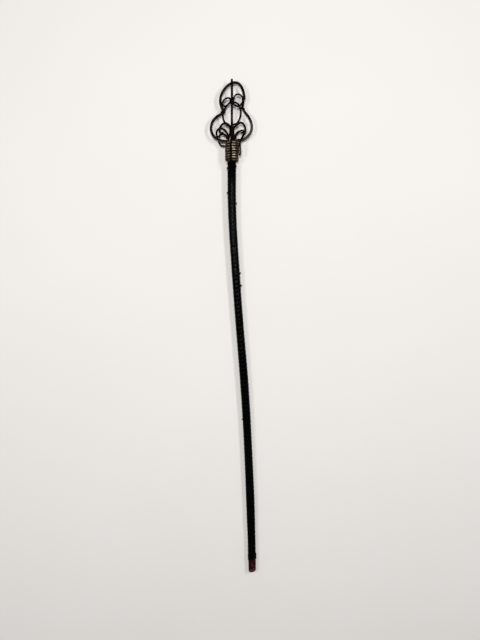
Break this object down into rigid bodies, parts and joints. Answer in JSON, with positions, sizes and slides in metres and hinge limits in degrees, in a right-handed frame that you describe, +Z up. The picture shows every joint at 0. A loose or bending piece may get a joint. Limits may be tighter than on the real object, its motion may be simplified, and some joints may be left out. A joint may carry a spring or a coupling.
{
  "type": "ritual staff",
  "caption": "Long taped wooden pole with a wire-bound collar and an openwork head of bent iron wire: gourd-shaped outline, spine, leaf oval and scrolls. Lies on its side.",
  "frame": {"origin": "bottom centre of the lying staff's bounding box", "axes": "+Y along the staff towards the wire head, +X to the head's right as seen from above, +Z up"},
  "size_m": [0.1118, 1.1966, 0.0384],
  "materials": {
    "red_wood": "dark red-brown, worn pale at the foot's edge",
    "black_tape": "near black, low sheen",
    "binding_wire": "brown rusted wire, worn bright on the crowns",
    "dark_iron": "blackened, low sheen",
    "tie_wire": "blackened thin wire"
  },
  "bodies": {
    "root": {"wooden_pole": "red_wood", "black_tape_covering": "black_tape", "binding_wire_collar": "binding_wire", "outer_loop_wire": "dark_iron", "outer_loop_right_lower": "dark_iron", "spine_wire": "dark_iron", "leaf_wire": "dark_iron", "upper_curl_right": "dark_iron", "upper_curl_left": "dark_iron", "lower_scroll_left_arch": "dark_iron", "lower_scroll_left_loop": "dark_iron", "lower_scroll_left_hook": "dark_iron", "lower_scroll_right": "dark_iron", "lower_scroll_right_hook": "dark_iron", "waist_tie_left": "tie_wire", "waist_tie_right": "tie_wire"}
  },
  "joints": []
}
